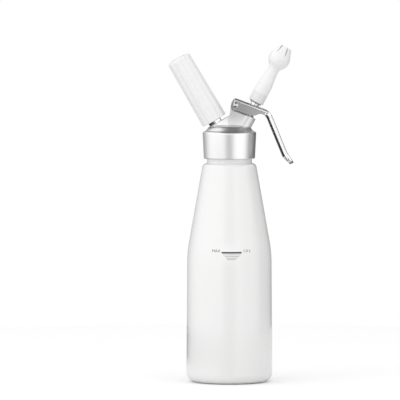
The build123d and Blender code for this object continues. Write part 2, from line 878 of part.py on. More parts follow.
with BuildPart() as decorator_nozzle:
    with BuildSketch(valve_side):
        with BuildLine():
            shaft = Polyline(
                (nozzle_thread_radius, nozzle_foot),
                (nozzle_base_radius, nozzle_foot),
                (nozzle_base_top_radius, nozzle_foot + nozzle_base_height),
                (nozzle_step_radius, nozzle_foot + nozzle_step_height),
                (nozzle_waist_radius, nozzle_foot + nozzle_waist_height),
                (nozzle_waist_radius, nozzle_foot + bulb_foot_height),
            )
            flank = ThreePointArc(
                shaft @ 1,
                (bulb_cove_radius, nozzle_foot + bulb_cove_height),
                (bulb_flank_radius, nozzle_foot + bulb_flank_height),
            )
            crown = ThreePointArc(
                flank @ 1,
                (bulb_radius, nozzle_foot + bulb_height),
                (bulb_crown_radius, nozzle_foot + bulb_crown_height),
            )
            Polyline(
                crown @ 1,
                (nozzle_mouth_radius, nozzle_foot + nozzle_length),
                (nozzle_mouth_radius - nozzle_wall, nozzle_foot + nozzle_length),
                (bulb_crown_radius - nozzle_wall, nozzle_foot + bulb_crown_height),
                (bulb_radius - nozzle_wall, nozzle_foot + bulb_height),
                (nozzle_waist_radius - nozzle_wall, nozzle_foot + bulb_cove_height),
                (nozzle_waist_radius - nozzle_wall, nozzle_foot + nozzle_waist_height),
                (nozzle_duct_radius, nozzle_foot + nozzle_base_height),
                (nozzle_duct_radius, socket_floor),
                (nozzle_thread_radius, socket_floor),
                shaft @ 0,
            )
        make_face()
    revolve(axis=valve_axis)
    # Pointed slots part the mouth into petals.
    mouth = across_axis(valve_side, nozzle_foot + nozzle_length)
    for petal in range(petal_count):
        turn = radians(petal_turn + petal * 360 / petal_count)
        outward = mouth.x_dir * sin(turn) - mouth.y_dir * cos(turn)
        sideways = mouth.z_dir.cross(outward)
        with BuildSketch(Plane(origin=mouth.origin, x_dir=sideways, z_dir=outward)):
            with BuildLine():
                slot_end = (petal_slot_end_width / 2, -petal_slot_length)
                slot_neck = (petal_slot_width / 2, -petal_tip_round)
                slot_lip = (petal_slot_width / 2 + petal_tip_round, 0)
                beyond = (slot_lip[0], nozzle_wall)
                Line(slot_end, slot_neck)
                TangentArc(slot_neck, slot_lip, tangent=(0, 1))
                Line(slot_lip, beyond)
                Line(beyond, (0, nozzle_wall))
                Line((0, -petal_slot_length), slot_end)
                mirror(about=Plane.YZ)
            make_face()
        extrude(amount=bulb_radius, mode=Mode.SUBTRACT)

# ------------------------------------------------------------------ the lever
slope = radians(lever_slope)
lever_side = Plane(origin=pivot, x_dir=(cos(slope), 0, -sin(slope)), z_dir=(0, -1, 0))
bend_corner = (bend_length, plate_height)
kick_corner = toward(bend_corner, handle_angle, handle_length)
tip_corner = toward(kick_corner, kick_angle, kick_length)
tip_inner = beneath(tip_corner, kick_angle, tip_depth)
handle_end = toward(kick_corner, handle_angle, flange_overrun)
handle_inner = beneath(handle_end, handle_angle, handle_depth)
bend_inner = beneath(bend_corner, handle_angle, handle_depth)
handle_ray = lever_side.from_local_coords(Vector(*toward((0, 0), handle_angle, 1))) - pivot
bend_point = lever_side.from_local_coords(Vector(*bend_corner))
handle_face = Plane(origin=bend_point, x_dir=handle_ray, z_dir=handle_ray.cross(Vector(0, 1, 0)))
lever_reach = 120.0     # longer than the lever, for cuts that run right through


def lever_plan(half_width, tip_end, tip_width, corner):
    """Outline of the lever seen square to its handle; it narrows toward the tip."""
    return rounded_outline(
        (-lever_reach, -half_width),
        (0, -half_width),
        (tip_end, -tip_width, corner),
        (tip_end, tip_width, corner),
        (0, half_width),
        (-lever_reach, half_width),
    )


def bent_edges(part):
    """Edges along both sides of the lever's outer face."""
    chosen = ShapeList()
    for face in part.faces():
        outward = face.normal_at()
        if outward.Z > 0.3 and abs(outward.Y) < 0.1:
            chosen += [edge for edge in face.edges() if abs(edge.tangent_at(0.5).Y) < 0.5]
    return chosen


def outer_line(depth):
    """Corners of the lever's outer face, from heel to tip, at a depth under that face."""
    return (
        (-heel_length + depth, plate_height - depth, max(heel_round - depth, 0)),
        (*inner_corner(bend_corner, 0, handle_angle, depth), bend_round - depth),
        (*inner_corner(kick_corner, handle_angle, kick_angle, depth), kick_round),
    )


lever_end = handle_length + kick_length * cos(radians(handle_angle - kick_angle))
hollow_half_width = lever_half_width - sheet
hollow_tip_half_width = tip_half_width - sheet
hollow_corner = tip_corner_round - sheet
hollow_tip = beneath(toward(tip_corner, kick_angle, -sheet), kick_angle, sheet)
blank_tip = toward(tip_corner, kick_angle, free_gap)

# What the folded sheet encloses: open below, at the heel and along the handle.
with BuildPart() as lever_hollow:
    with BuildSketch(lever_side):
        with BuildLine():
            rounded_outline(
                (-lever_reach, plate_height - sheet),
                *outer_line(sheet)[1:],
                hollow_tip,
                beneath(hollow_tip, kick_angle, lever_reach),
                (-lever_reach, -lever_reach),
            )
        make_face()
    extrude(amount=hollow_half_width, both=True)
    with BuildSketch(handle_face):
        with BuildLine():
            lever_plan(hollow_half_width, lever_end - sheet, hollow_tip_half_width, hollow_corner)
        make_face()
    extrude(amount=2 * lever_reach, both=True, mode=Mode.INTERSECT)
    fillet(bent_edges(lever_hollow.part), edge_bend - sheet)

# The sheet with its long bends, longer and deeper than the finished lever.
with BuildPart() as lever_blank:
    with BuildSketch(lever_side):
        with BuildLine():
            rounded_outline(
                (-heel_length, -lever_reach),
                *outer_line(0),
                blank_tip,
                beneath(blank_tip, kick_angle, lever_reach),
            )
        make_face()
    extrude(amount=lever_half_width, both=True)
    with BuildSketch(handle_face):
        with BuildLine():
            lever_plan(lever_half_width, lever_end + free_gap, tip_half_width, 0)
        make_face()
    extrude(amount=2 * lever_reach, both=True, mode=Mode.INTERSECT)
    fillet(bent_edges(lever_blank.part), edge_bend)

with BuildPart() as lever:
    add(lever_blank.part)
    # Trimmed to the cheeks' outline, then to the rounded tip.
    with BuildSketch(lever_side):
        with BuildLine():
            rounded_outline(
                *outer_line(-free_gap),
                (*beneath(tip_corner, kick_angle, -free_gap), tip_round),
                (*tip_inner, tip_round),
                (*handle_inner, flange_round),
                (*bend_inner, flange_bend_round),
                notch_far,
                notch_near,
                (sole_length, -sole_depth, sole_round),
                (-heel_length - free_gap, -sole_depth, sole_heel_round),
            )
        make_face()
    extrude(amount=lever_half_width + free_gap, both=True, mode=Mode.INTERSECT)
    with BuildSketch(handle_face):
        with BuildLine():
            lever_plan(lever_half_width + free_gap, lever_end, tip_half_width + free_gap, tip_corner_round)
        make_face()
    extrude(amount=2 * lever_reach, both=True, mode=Mode.INTERSECT)
    add(lever_hollow.part, mode=Mode.SUBTRACT)
    with BuildSketch(lever_side):
        Circle(pin_radius + running_gap)
    extrude(amount=lever_half_width, both=True, mode=Mode.SUBTRACT)
    slot_middle = lever_side.from_local_coords(Vector(lever_arm + stem_slot_shift, plate_height))
    slot_width = 2 * (stem_radius + free_gap)
    with BuildSketch(Plane(origin=slot_middle, x_dir=lever_side.x_dir, z_dir=lever_side.y_dir)):
        SlotOverall(slot_width + stem_slot_travel, slot_width)
    extrude(amount=plate_height / 2, both=True, mode=Mode.SUBTRACT)

# -------------------------------------------------------------- the lever's pin
cheek_face = lever_half_width + running_gap
pin_length = 2 * cheek_face + clip_thickness + pin_tail
near_cheek = Plane(origin=pivot - Vector(0, cheek_face, 0), x_dir=(1, 0, 0), z_dir=(0, -1, 0))
far_cheek = Plane(origin=pivot + Vector(0, cheek_face, 0), x_dir=(1, 0, 0), z_dir=(0, 1, 0))

with BuildPart() as lever_pin:
    with BuildSketch(near_cheek.offset(-pin_length)):
        Circle(pin_radius)
    extrude(amount=pin_length)
    with BuildSketch(Plane(origin=near_cheek.origin, x_dir=near_cheek.x_dir, z_dir=(0, 0, -1))):
        with BuildLine():
            rim = (pin_head_radius, pin_head_rim)
            seat = Polyline((0, pin_head_height), (0, 0), (pin_head_radius, 0), rim)
            TangentArc(seat @ 0, rim, tangent=(1, 0))
        make_face()
    revolve(axis=Axis(near_cheek.origin, near_cheek.z_dir))

with BuildPart() as pin_clip:
    with BuildSketch(far_cheek):
        Circle(clip_radius)
        Circle(pin_radius + fixed_gap, mode=Mode.SUBTRACT)
    extrude(amount=clip_thickness)

# ---------------------------------------------------------------- written out
pieces = {
    "bottle": bottle,
    "head_gasket": head_gasket,
    "head_casting": head_casting,
    "inlet_nipple": inlet_nipple,
    "piercing_pin": piercing_pin,
    "charger_seal": charger_seal,
    "check_sleeve": check_sleeve,
    "gas_charger": gas_charger,
    "charger_cap": charger_cap,
    "charger_holder": charger_holder,
    "holder_insert": holder_insert,
    "valve_bush": valve_bush,
    "valve_spring": valve_spring,
    "valve_stem": valve_stem,
    "stem_o_ring": stem_o_ring,
    "valve_seal": valve_seal,
    "seal_backing": seal_backing,
    "valve_nut": valve_nut,
    "thrust_ring": thrust_ring,
    "nozzle_adapter": nozzle_adapter,
    "nozzle_washer": nozzle_washer,
    "decorator_nozzle": decorator_nozzle,
    "lever": lever,
    "lever_pin": lever_pin,
    "pin_clip": pin_clip,
}

os.makedirs("parts", exist_ok=True)
for name, piece in pieces.items():
    piece.part.label = name
    export_step(piece.part, f"parts/{name}.step")
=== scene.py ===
import json
from math import asin, cos, pi, radians, sin, tan

import bmesh
import bpy
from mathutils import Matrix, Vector
from mathutils.bvhtree import BVHTree


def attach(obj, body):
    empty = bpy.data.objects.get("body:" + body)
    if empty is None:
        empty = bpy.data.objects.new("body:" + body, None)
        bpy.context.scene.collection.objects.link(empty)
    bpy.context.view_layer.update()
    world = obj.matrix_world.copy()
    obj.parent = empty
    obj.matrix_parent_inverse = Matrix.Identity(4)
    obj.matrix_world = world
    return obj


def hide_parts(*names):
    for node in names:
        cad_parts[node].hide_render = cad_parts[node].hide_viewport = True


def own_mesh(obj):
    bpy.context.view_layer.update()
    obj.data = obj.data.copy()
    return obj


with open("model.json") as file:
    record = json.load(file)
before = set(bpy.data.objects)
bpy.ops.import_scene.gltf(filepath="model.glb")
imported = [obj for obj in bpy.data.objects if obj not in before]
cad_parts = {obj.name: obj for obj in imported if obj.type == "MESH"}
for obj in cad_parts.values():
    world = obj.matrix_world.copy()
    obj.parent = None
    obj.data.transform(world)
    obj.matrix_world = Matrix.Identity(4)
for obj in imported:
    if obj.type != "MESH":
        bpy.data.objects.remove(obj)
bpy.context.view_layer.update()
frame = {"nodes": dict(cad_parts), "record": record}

nodes = frame["nodes"]
MM = 0.001
upright = Vector((0, 0, 1))


def leaning(degrees):
    """Direction in the XZ plane that leans by an angle from +Z toward +X."""
    lean = radians(degrees)
    return Vector((sin(lean), 0, cos(lean)))


def sloping(degrees):
    """Direction in the XZ plane that falls by an angle below +X."""
    slope = radians(degrees)
    return Vector((cos(slope), 0, -sin(slope)))


# The head's two leaning axes, and in mm the heights of its bosses' faces above the place where they cross.
axes_cross = Vector((1.06, 0, 252.9)) * MM
valve_up = leaning(28.7)
inlet_up = leaning(-30.2)
valve_face_height = 40.35
inlet_face_height = 31.0
valve_face = axes_cross + valve_up * valve_face_height * MM
inlet_face = axes_cross + inlet_up * inlet_face_height * MM
nozzle_foot = valve_face + valve_up * 16.8 * MM

# The lever's hinge, the corners of its outer line and the directions of its runs.
lever_pivot = Vector((6.736, 0, 299.5)) * MM
bend_corner = lever_pivot + Vector((37.344, 0, -6.628)) * MM
heel_ray = sloping(10)
top_ray = sloping(20.5)
handle_ray = sloping(67.7)
tip_ray = sloping(55.1)
kick_corner = bend_corner + handle_ray * 49.3 * MM

# Tones give way to each other over these stretches, in metres. The web's and the sheet's are distances from
# the hinge, over which painted shade near the hinge gives way. The heel's and the tip's painted dark edges
# run along their rays, from the hinge and from the kick's corner. The foot's is above the nozzle's foot. The
# adapter's painted shade band is above the crossing of the axes, and the next number is the width of its
# soft edges.
web_shade_fade = (0.012, 0.027)
sheet_shade_fade = (0.006, 0.045)
heel_shade_fade = (-0.0034, -0.0018)
tip_shade_fade = (0.0082, 0.0102)
foot_fade = (0.0096, 0.0118)
adapter_shade_band = ((valve_face_height + 15.3) * MM, (valve_face_height + 17.1) * MM)
shade_band_edge = 0.2 * MM


# ------------------------------------------------------------------- shaders
class Field:
    """An output socket in a shader. Arithmetic on it adds Math nodes."""

    def __init__(self, tree, socket=None):
        self.tree = tree
        self.socket = socket

    def node(self, kind, settings=None, inputs=None, output=0):
        """Adds a node: its settings first, then the values or links of its sockets."""
        made = self.tree.nodes.new(kind)
        for name, value in (settings or {}).items():
            if name == "stops":
                ramp = made.color_ramp
                while len(ramp.elements) < len(value):
                    ramp.elements.new(0.5)
                for element, (position, shade) in zip(ramp.elements, value):
                    element.position = position
                    element.color = (shade, shade, shade, 1)
            else:
                setattr(made, name, value)
        for key, value in (inputs or {}).items():
            if isinstance(value, Field):
                self.tree.links.new(value.socket, made.inputs[key])
            else:
                made.inputs[key].default_value = value
        return Field(self.tree, made.outputs[output])

    def maths(self, operation, first, second):
        """A Math node on two numbers or fields."""
        return self.node("ShaderNodeMath", {"operation": operation}, {0: first, 1: second})

    def vector_maths(self, operation, other, output=0):
        """A Vector Math node on this field and another vector; output 1 is a number."""
        return self.node("ShaderNodeVectorMath", {"operation": operation}, {0: self, 1: other}, output)

    def __add__(self, other):
        return self.maths("ADD", self, other)

    def __radd__(self, other):
        return self.maths("ADD", other, self)

    def __sub__(self, other):
        return self.maths("SUBTRACT", self, other)

    def __rsub__(self, other):
        return self.maths("SUBTRACT", other, self)

    def __mul__(self, other):
        return self.maths("MULTIPLY", self, other)

    def __rmul__(self, other):
        return self.maths("MULTIPLY", other, self)

    def __truediv__(self, other):
        return self.maths("DIVIDE", self, other)


def emptied(owner):
    """A field to add nodes from, in the cleared shader tree of a material or world."""
    owner.use_nodes = True
    owner.node_tree.nodes.clear()
    return Field(owner.node_tree)


def shown(shader, kind):
    """Links a shader to a new output node of its tree."""
    result = shader.tree.nodes.new(kind)
    shader.tree.links.new(shader.socket, result.inputs[0])


def ray_kinds(start):
    """Two fields: 1 for rays from the camera, and 1 for rays that a glossy surface reflects."""
    return [start.node("ShaderNodeLightPath", output=kind) for kind in ("Is Camera Ray", "Is Glossy Ray")]


def noise(place, size, detail=3.0, roughness=0.55):
    """Noise from 0 to 1 whose blotches are about a size in metres."""
    inputs = {"Vector": place, "Scale": 1 / size, "Detail": detail, "Roughness": roughness}
    return place.node("ShaderNodeTexNoise", {}, inputs)


def stretched(place, factors):
    """The place scaled along X, Y and Z, for grain that runs one way."""
    return place.vector_maths("MULTIPLY", factors)


def height_along(place, origin, direction):
    """Height of the place along an axis, in metres from the origin."""
    return place.vector_maths("SUBTRACT", origin).vector_maths("DOT_PRODUCT", direction, 1)


def distance_from(place, origin):
    """Distance of the place from a point, in metres."""
    return place.vector_maths("DISTANCE", origin, 1)


def step(value, low, high):
    """0 under low, 1 over high and smooth between."""
    settings = {"interpolation_type": "SMOOTHSTEP"}
    return value.node("ShaderNodeMapRange", settings, {0: value, 1: low, 2: high})


def between(value, rise, fall):
    """1 between two soft edges and 0 outside them; each edge is a pair of low and high."""
    return step(value, *rise) * (1 - step(value, *fall))


def grey(shade):
    """A neutral colour."""
    return (shade, shade, shade)


def mixed(amount, first, second):
    """A colour that goes from first to second as the amount goes from 0 to 1. Either may be a field."""
    first, second = (end if isinstance(end, Field) else (*end, 1) for end in (first, second))
    settings = {"data_type": "RGBA", "clamp_factor": True}
    return amount.node("ShaderNodeMix", settings, {0: amount, 6: first, 7: second}, 2)


def dented(height, distance, strength=1.0, eased=0.0):
    """Normal of a surface raised by a height in 0 to 1 times a distance; edges eased by a radius."""
    inputs = {"Height": height, "Distance": distance, "Strength": strength}
    if eased:
        inputs["Normal"] = height.node("ShaderNodeBevel", {"samples": 6}, {"Radius": eased})
    return height.node("ShaderNodeBump", {}, inputs)


def finish(name, uniform, varying):
    """Principled material. Uniform values sit on its own sockets; varying(place) gives the links."""
    made = bpy.data.materials.new(name)
    start = emptied(made)
    place = start.node("ShaderNodeTexCoord", output="Object")
    surface = start.node("ShaderNodeBsdfPrincipled", {}, {**uniform, **varying(place)})
    shown(surface, "ShaderNodeOutputMaterial")
    return made


def lacquer(place):
    """White stoved lacquer with a faint orange peel and a little dust in it."""
    drift = noise(place, 0.05, 2.0)
    peel = noise(place, 0.0022, 2.0)
    specks = step(noise(place, 0.0007, 1.0), 0.74, 0.8)
    return {
        "Base Color": mixed(drift * 0.8 + specks * 0.3, (0.885, 0.885, 0.88), (0.855, 0.855, 0.85)),
        "Roughness": 0.16 + 0.06 * drift,
        "Normal": dented(peel, 0.00002, 0.2),
    }


def cast_metal(place):
    """Satin cast aluminium: fine lapping lines over a softly uneven surface."""
    cloud = noise(place, 0.012, 4.0)
    grain = noise(stretched(place, (1.0, 1.0, 7.0)), 0.0016, 3.0, 0.65)
    pores = step(noise(place, 0.0011, 2.0), 0.7, 0.8)
    tone = mixed(cloud * 0.6 + pores * 0.4, (0.82, 0.82, 0.825), (0.74, 0.74, 0.745))
    # Painted shade: the web right under the lever is painted darker, for the shade that the lever casts on
    # it.
    past_lever_shade = step(distance_from(place, lever_pivot), *web_shade_fade)
    return {
        "Base Color": mixed(past_lever_shade, (0.55, 0.55, 0.555), tone),
        "Roughness": 0.3 + 0.06 * cloud + 0.06 * grain,
        "Normal": dented(grain * 0.6 + cloud * 0.4 - pores * 0.3, 0.00003, 0.3, 0.7 * MM),
    }


def pressed_steel(place):
    """Polished stainless sheet with fine lengthwise polishing marks."""
    marks = noise(stretched(place, (0.25, 6.0, 0.25)), 0.0012, 3.0, 0.7)
    wear = noise(place, 0.008, 3.0)
    tone = mixed(wear, grey(0.80), (0.72, 0.72, 0.725))
    # Painted shade: the sheet is painted darker towards the pin.
    past_pin_shade = step(distance_from(place, lever_pivot), *sheet_shade_fade)
    tone = mixed(past_pin_shade, (0.5, 0.5, 0.505), tone)
    # Painted dark reflections: the edges of heel and tip are painted dark.
    heel = step(height_along(place, lever_pivot, heel_ray), *heel_shade_fade)
    tip = step(height_along(place, kick_corner, tip_ray), *tip_shade_fade)
    return {
        "Base Color": mixed(heel * (1 - tip), (0.2, 0.2, 0.205), tone),
        "Roughness": 0.1 + 0.05 * wear + 0.04 * marks,
        "Normal": dented(marks, 0.00001, 0.3, 0.5 * MM),
    }


def holder_plastic(place):
    """Glossy moulded plastic, slightly clouded by handling."""
    cloud = noise(place, 0.02, 3.0)
    flow = noise(place, 0.009, 2.0)
    return {
        "Base Color": mixed(cloud, grey(0.885), (0.86, 0.86, 0.865)),
        "Roughness": 0.26 + 0.1 * cloud,
        "Normal": dented(flow, 0.00003, 0.15),
    }


def nozzle_plastic(place):
    """Milky moulded plastic; the metal adapter shows greyly through its foot."""
    clear = step(height_along(place, nozzle_foot, valve_up), *foot_fade)
    cloud = noise(place, 0.012, 3.0)
    return {
        "Base Color": mixed(clear - cloud * 0.1, (0.77, 0.77, 0.775), grey(0.868)),
        "Roughness": 0.3 + 0.1 * cloud,
        "Normal": dented(cloud, 0.00003, 0.15),
    }


def seal_rubber(place):
    """Black food-grade rubber with moulding bloom."""
    bloom = noise(place, 0.003, 4.0)
    return {
        "Base Color": mixed(bloom, grey(0.018), grey(0.05)),
        "Roughness": 0.5 + 0.25 * bloom,
        "Normal": dented(bloom, 0.00006, 0.4),
    }


def bearing_plastic(place):
    """Off-white bearing plastic with fine mottling."""
    mottle = noise(place, 0.0008, 2.0)
    return {
        "Base Color": mixed(mottle, (0.78, 0.76, 0.70), (0.70, 0.68, 0.62)),
        "Roughness": 0.38 + 0.1 * mottle,
        "Normal": dented(mottle, 0.00003, 0.4),
    }


metal = {"Metallic": 1.0}
rings_per_metre = 3200


def turned(name, light, dark, up, band=None):
    """Lathe-turned metal with rings square to its axis; it may carry a band of painted shade between two
    heights.
    """

    def varying(place):
        height = height_along(place, axes_cross, up)
        ring_inputs = {"W": height, "Scale": rings_per_metre}
        rings = height.node("ShaderNodeTexNoise", {"noise_dimensions": "1D"}, ring_inputs)
        stain = noise(place, 0.005, 3.0)
        tone = mixed(stain, light, dark)
        if band:
            low, high = band
            # Painted shade: the band between the two heights is painted dark.
            painted_shade_band = between(height, (low - shade_band_edge, low), (high, high + shade_band_edge))
            tone = mixed(painted_shade_band, tone, grey(0.22))
        return {
            "Base Color": tone,
            "Roughness": 0.14 + 0.1 * stain + 0.06 * rings,
            "Normal": dented(rings, 0.000015, 0.6, 0.3 * MM),
        }

    return finish(name, metal, varying)


def ink(name, light, dark):
    """Screen-printed ink, a little uneven in cover."""

    def varying(place):
        cover = noise(place, 0.0009, 3.0)
        return {"Base Color": mixed(cover, grey(light), grey(dark)), "Roughness": 0.4 + 0.15 * cover}

    return finish(name, {}, varying)


finishes = {
    "white_lacquer": finish("white_lacquer", {"Coat Weight": 0.5, "Coat Roughness": 0.06}, lacquer),
    "cast_aluminium": finish("satin_casting", metal, cast_metal),
    "lever_steel": finish("polished_sheet", metal, pressed_steel),
    "polished_steel": turned("turned_steel", grey(0.8), (0.66, 0.66, 0.67), valve_up),
    "spring_steel": turned("drawn_wire", (0.62, 0.62, 0.63), (0.5, 0.5, 0.51), valve_up),
    "charger_steel": turned("plated_charger", (0.7, 0.7, 0.71), grey(0.6), inlet_up),
    "plated_brass": turned("nickel_plate", (0.8, 0.8, 0.795), (0.7, 0.7, 0.695), valve_up, adapter_shade_band),
    "cap_foil": turned("plain_aluminium", (0.82, 0.82, 0.83), grey(0.7), inlet_up),
    "white_plastic": finish("holder_plastic", {"Coat Weight": 0.2}, holder_plastic),
    "nozzle_plastic": finish("nozzle_plastic", {}, nozzle_plastic),
    "bush_plastic": finish("bearing_plastic", {}, bearing_plastic),
    "seal_rubber": finish("seal_rubber", {}, seal_rubber),
}
black_ink = ink("black_ink", 0.03, 0.06)
grey_ink = ink("grey_ink", 0.32, 0.4)

slot_of = {part["node"]: part["material_slot"] for part in frame["record"]["subparts"]}
for name, part in nodes.items():
    part.data.materials.clear()
    part.data.materials.append(finishes[slot_of[name]])


# -------------------------------------------------------------------- pieces
def placed(name, data):
    """A new object in the scene."""
    made = bpy.data.objects.new(name, data)
    bpy.context.collection.objects.link(made)
    return made


def piece(name, points, faces, body, slot, material=None, smooth=True):
    """A mesh in the frame's own coordinates that rides on a body."""
    mesh = bpy.data.meshes.new(name)
    mesh.from_pydata([tuple(point) for point in points], [], faces)
    mesh.validate()
    mesh.polygons.foreach_set("use_smooth", [smooth] * len(mesh.polygons))
    mesh.materials.append(material or finishes[slot])
    made = placed(name, mesh)
    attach(made, body)
    return made


def swept(sections):
    """Points and faces of a closed tube through rings of equal length, with flat ends."""
    count = len(sections[0])
    points = [point for ring in sections for point in ring]
    faces = [tuple(range(count))[::-1]]
    for ring in range(len(sections) - 1):
        for side in range(count):
            here = ring * count + side
            beside = ring * count + (side + 1) % count
            faces.append((here, beside, beside + count, here + count))
    last = (len(sections) - 1) * count
    faces.append(tuple(range(last, last + count)))
    return points, faces


def circle(radius, sides):
    """Corners of a regular polygon about the origin, as pairs."""
    return [(radius * cos(2 * pi * k / sides), radius * sin(2 * pi * k / sides)) for k in range(sides)]


def wound(section, middle, up, turn, radius):
    """A section's points after a turn about an axis; the section gives radial and axial offsets."""
    side = Vector((up.z, 0, -up.x))
    outward = side * cos(turn) + up.cross(side) * sin(turn)
    return [middle + outward * (radius + r) + up * z for r, z in section]


# The share of a thread over which its ridge rises or dies away, the share of its height that is left at the
# ends, how deep its foot is sunk in the wall, and its sections to a turn.
thread_end, least_ridge, thread_root, thread_steps = 0.08, 0.02, 0.12 * MM, 40


def ridge(share, depth, pitch, inward):
    """Section of a thread's ridge at a share of its length."""
    sign = -1 if inward else 1
    full = min(1.0, share / thread_end, (1 - share) / thread_end)
    crest = sign * depth * max(full, least_ridge)
    root = -sign * thread_root
    half_foot, half_crest = 0.31 * pitch, 0.1 * pitch
    shape = [(root, -half_foot), (root, half_foot), (crest, half_crest), (crest, -half_crest)]
    return shape if inward else shape[::-1]


def thread(name, body, slot, origin, up, radius, pitch, turns, depth, inward=False):
    """A screw thread's ridge on a round wall, outward or inward, from an origin on its axis; sizes in mm."""
    radius, pitch, depth = radius * MM, pitch * MM, depth * MM
    count = int(thread_steps * turns)
    rings = []
    for number in range(count + 1):
        share = number / count
        middle = origin + up * (pitch * turns * share)
        section = ridge(share, depth, pitch, inward)
        rings.append(wound(section, middle, up, 2 * pi * turns * share, radius))
    piece(name, *swept(rings), body, slot, smooth=False)


# The neck's thread and the collar's run in each other's grooves, half a pitch apart.
neck_start = Vector((0, 0, 0.2478))
collar_start = neck_start + upright * 2 * MM
thread(
    "neck_thread", "bottle", "white_lacquer",
    neck_start, upright, radius=23.4, pitch=4, turns=3.2, depth=0.9,
)
thread(
    "collar_thread", "head", "cast_aluminium",
    collar_start, upright, radius=24.8, pitch=4, turns=3.2, depth=0.8, inward=True,
)

adapter_start = valve_face + valve_up * 17.6 * MM
thread(
    "adapter_thread", "valve", "plated_brass",
    adapter_start, valve_up, radius=6.0, pitch=1.5, turns=5, depth=0.13,
)

drum_start = inlet_face + inlet_up * 4.8 * MM
thread(
    "drum_thread", "head", "plated_brass",
    drum_start, inlet_up, radius=9.6, pitch=2, turns=3.4, depth=0.28,
)


# --------------------------------------------------------------- lever's trim
def inward_of(ray):
    """Direction from the lever's outer face into its channel."""
    return Vector((ray.z, 0, -ray.x))


def rounded_run(corner, ray_in, ray_out, radius, steps):
    """Points and directions round a corner of the lever's outer line."""
    inner = inward_of(ray_in)
    turn = ray_in.angle(ray_out)
    side = 1 if ray_out.dot(inner) > 0 else -1
    middle = corner - ray_in * radius * tan(turn / 2) + inner * side * radius
    run = []
    for number in range(steps + 1):
        ray = ray_in.slerp(ray_out, number / steps)
        run.append((middle - inward_of(ray) * side * radius, ray))
    return run


def ran_on(run, length):
    """The same line with a straight run in mm added to its end."""
    last, ray = run[-1]
    return [*run, (last + ray * length / 2 * MM, ray), (last + ray * length * MM, ray)]


section_gap = 1.1 * MM


def evened(run):
    """The same line with points added, so that they are about a section gap apart."""
    points = [run[0]]
    for (here, ray), (there, next_ray) in zip(run, run[1:]):
        parts = max(1, round((there - here).length / section_gap))
        for number in range(1, parts + 1):
            share = number / parts
            points.append((here.lerp(there, share), ray.lerp(next_ray, share).normalized()))
    return points


# The flange's outside stands this far from the lever's middle plane, in mm. It comes in by the taper from
# the bend to the handle's end.
flange_at_bend, flange_taper, handle_length = 11.1, 2.7, 61.3


def trim(name, line, section, side, inside=1, ends=(5, 4)):
    """A piece along the outside of a flange, which swells to its full size from both ends.

    section(full) gives pairs in mm: a depth from the line, and how far that point stands off the flange.
    Depths run the way inward_of gives, or against it where inside is -1. The ends say how soon it is full.
    """
    line = evened(line)
    beside = Vector((0, side, 0))
    rings = []
    for number, (spot, ray) in enumerate(line):
        share = number / (len(line) - 1)
        full = sin(pi * min(0.5, share * ends[0], (1 - share) * ends[1]))
        reach = max(0.0, (spot - bend_corner).dot(handle_ray))
        flange = (flange_at_bend - flange_taper * reach / (handle_length * MM)) * MM
        inner = inward_of(ray) * inside
        ring = []
        for depth, rise in section(full):
            ring.append(spot + inner * depth * MM + beside * (flange + rise * MM))
        rings.append(ring if side * inside < 0 else ring[::-1])
    piece(name, *swept(rings), "lever", "lever_steel")


# The handle's side flanges are rolled outward into a bead along their length. Its sizes in mm are the depth
# of its middle line under the outer face, its width, the place of its crown across the profile, how far it
# stands off there, how deep its back is sunk in the sheet, and the profile's whole width.
hem_middle, hem_width, hem_crown, hem_rise, hem_root, hem_profile = 3.95, 4.9, 2.1, 1.3, 0.35, 5.0
# Both sides of the crown fall away at a slope, and a round joins them. Its points are spread over the width.
hem_slope, crown_round, crown_level, hem_points = 0.49, 0.05, 0.22, 15


def hem_section(full):
    """Section of the bead, which stands off the flange most along its crown."""
    full = max(full, 0.02)
    top = hem_middle - hem_width / 2 * full
    foot = hem_middle + hem_width / 2 * full
    outside = []
    for number in range(hem_points):
        across = number / (hem_points - 1)
        off = across * hem_profile - hem_crown
        rise = max(0.0, hem_rise - hem_slope * ((off * off + crown_round) ** 0.5 - crown_level))
        outside.append((top + (foot - top) * across, rise * full))
    return [*outside, (foot, -hem_root), (top, -hem_root)]


# Each flange's name and its side of the lever's middle plane.
flanges = (("near", -1), ("far", 1))
bend_run = rounded_run(bend_corner, top_ray, handle_ray, radius=14 * MM, steps=16)
kick_run = rounded_run(kick_corner, handle_ray, tip_ray, radius=20 * MM, steps=6)
# The bead follows the lever's outer line from the bend to the tip.
hem_line = ran_on(bend_run[2:] + kick_run, 5)
for name, side in flanges:
    trim(f"handle_hem_{name}", hem_line, hem_section, side, ends=(5.5, 4.5))

# Sections in mm: how far inside the sheet's outline, and how far off the cheek.
# The fold leans in toward the top plate; the rim turns under along the sole.
edge_root = 0.4
fold_shape = (
    (1.2, -edge_root),
    (1.38, -0.12),
    (1.6, -0.034),
    (2.0, 0.10),
    (2.4, 0.234),
    (2.75, 0.345),
    (2.95, 0.375),
    (3.1, 0.32),
    (3.25, 0.17),
    (3.36, -0.02),
    (3.45, -edge_root),
)
rim_shape = (
    (0.02, -edge_root),
    (0.04, 0.0),
    (0.3, 0.12),
    (0.7, 0.29),
    (1.05, 0.41),
    (1.2, 0.42),
    (1.35, 0.3),
    (1.5, 0.06),
    (1.6, -edge_root),
)
up_ray = -inward_of(top_ray)


def edge_section(shape):
    """Section of a fold or rim, which is sunk into the sheet where full is 0."""

    def section(full):
        return [(depth, (rise + edge_root) * full - edge_root) for depth, rise in shape]

    return section


def on_cheek(along, height):
    """A point of the lever's middle plane, in mm from the pivot along the top and square to it."""
    return lever_pivot + top_ray * along * MM + up_ray * height * MM


# The fold follows the cheek's upper edge from over the pin to just past the bend.
fold_line = ran_on([(on_cheek(1.6, 6.87), top_ray), *bend_run], 7)
